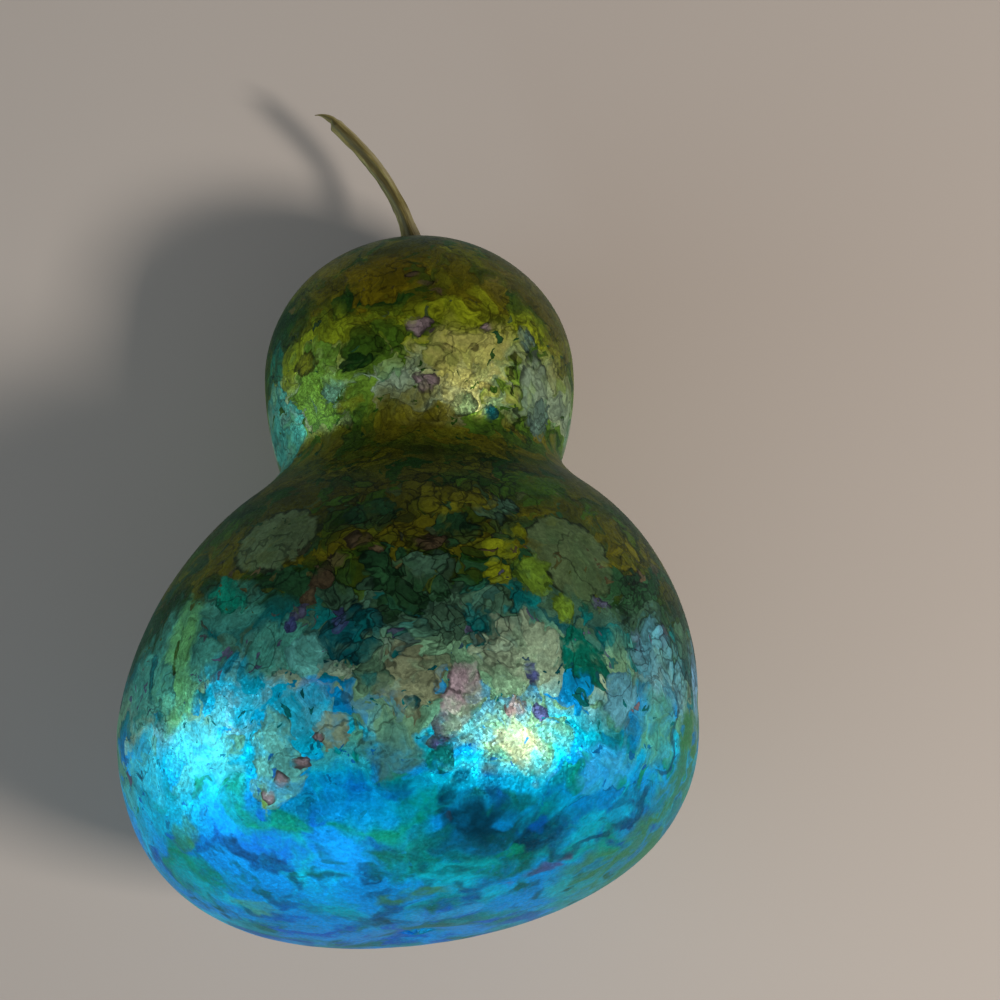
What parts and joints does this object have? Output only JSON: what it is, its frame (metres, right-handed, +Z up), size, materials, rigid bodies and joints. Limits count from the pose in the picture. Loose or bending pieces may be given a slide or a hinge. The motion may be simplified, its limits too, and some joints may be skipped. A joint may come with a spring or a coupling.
{
  "type": "painted gourd",
  "caption": "Dried bottle gourd with a round belly, a smaller crown and a curled woody stem, marbled all over in blue, teal and olive inks, lying on its side as a decoration.",
  "frame": {"origin": "centre of the bounding box's bottom face, on the surface that the gourd lies on", "axes": "+Y from the base of the gourd to its stem end, +Z up from the surface that it lies on"},
  "size_m": [0.1222, 0.1888, 0.1216],
  "materials": {
    "ink_on_pearl": "marbled blue, teal and olive inks over a pearl ground, satin varnish",
    "dried_stem": "dry, dull and fibrous"
  },
  "bodies": {
    "root": {"gourd": "ink_on_pearl", "stem": "dried_stem"}
  },
  "joints": []
}
